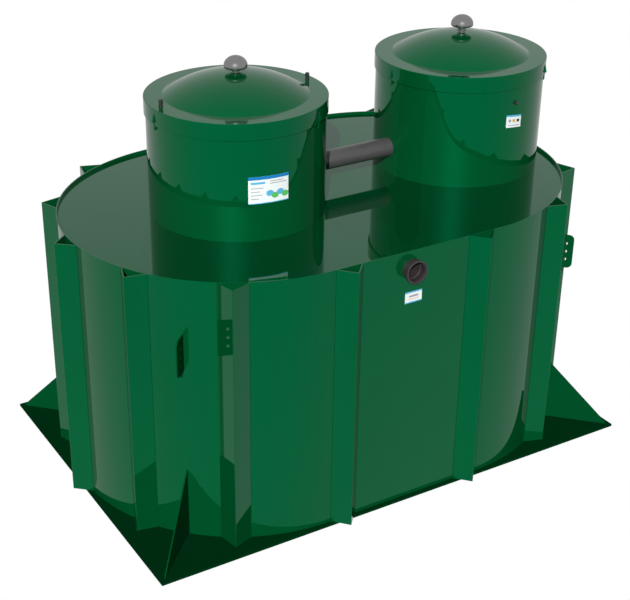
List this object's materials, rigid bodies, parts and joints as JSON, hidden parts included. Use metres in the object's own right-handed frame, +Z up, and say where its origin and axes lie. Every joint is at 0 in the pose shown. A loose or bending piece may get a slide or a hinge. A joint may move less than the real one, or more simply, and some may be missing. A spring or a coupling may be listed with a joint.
{
  "type": "biological sewage treatment unit",
  "caption": "Welded plastic tank, obround in plan, with V ribs, gussets and lifting lugs on a base plate, a recessed deck, two lidded access shafts, a cross pipe and pipe sockets.",
  "frame": {"origin": "on the ground, under the middle of the tank", "axes": "+X along the tank towards the shaft that stands at its end, +Y towards the back wall, +Z up; the front wall with the inlet socket faces -Y"},
  "size_m": [3.204, 2.178, 2.408],
  "materials": {
    "green_plastic": "smooth glossy green sheet, welded",
    "green_base_plastic": "smooth dark green sheet",
    "grey_pipe_plastic": "smooth grey pipe plastic",
    "knob_plastic": "moulded light grey plastic",
    "dark_fitting_plastic": "moulded near-black plastic",
    "label_film": "printed white film, plain coloured bands"
  },
  "bodies": {
    "root": {"base_plate": "green_base_plastic", "front_wall": "green_plastic", "back_wall": "green_plastic", "left_end_front": "green_plastic", "left_end_middle": "green_plastic", "left_end_back": "green_plastic", "right_end_front": "green_plastic", "right_end_middle": "green_plastic", "right_end_back": "green_plastic", "deck": "green_plastic", "rib_front_1": "green_plastic", "rib_front_2": "green_plastic", "rib_back_1": "green_plastic", "rib_back_2": "green_plastic", "rib_left_1": "green_plastic", "rib_left_2": "green_plastic", "rib_left_3": "green_plastic", "rib_left_4": "green_plastic", "rib_left_5": "green_plastic", "rib_right_1": "green_plastic", "rib_right_2": "green_plastic", "rib_right_3": "green_plastic", "rib_right_4": "green_plastic", "rib_right_5": "green_plastic", "gusset_front_left": "green_plastic", "gusset_front_right": "green_plastic", "gusset_back_left": "green_plastic", "gusset_back_right": "green_plastic", "lifting_lug_front_left": "green_plastic", "lifting_lug_front_right": "green_plastic", "lifting_lug_back_left": "green_plastic", "lifting_lug_back_right": "green_plastic", "shaft_1": "green_plastic", "shaft_2": "green_plastic", "lid_1": "green_plastic", "lid_2": "green_plastic", "knob_1": "knob_plastic", "knob_2": "knob_plastic", "lid_bolt_left": "dark_fitting_plastic", "lid_bolt_right": "dark_fitting_plastic", "cross_pipe": "grey_pipe_plastic", "inlet_socket": "grey_pipe_plastic", "outlet_socket": "grey_pipe_plastic", "cable_gland": "dark_fitting_plastic", "rim_strip": "green_plastic"}
  },
  "joints": []
}
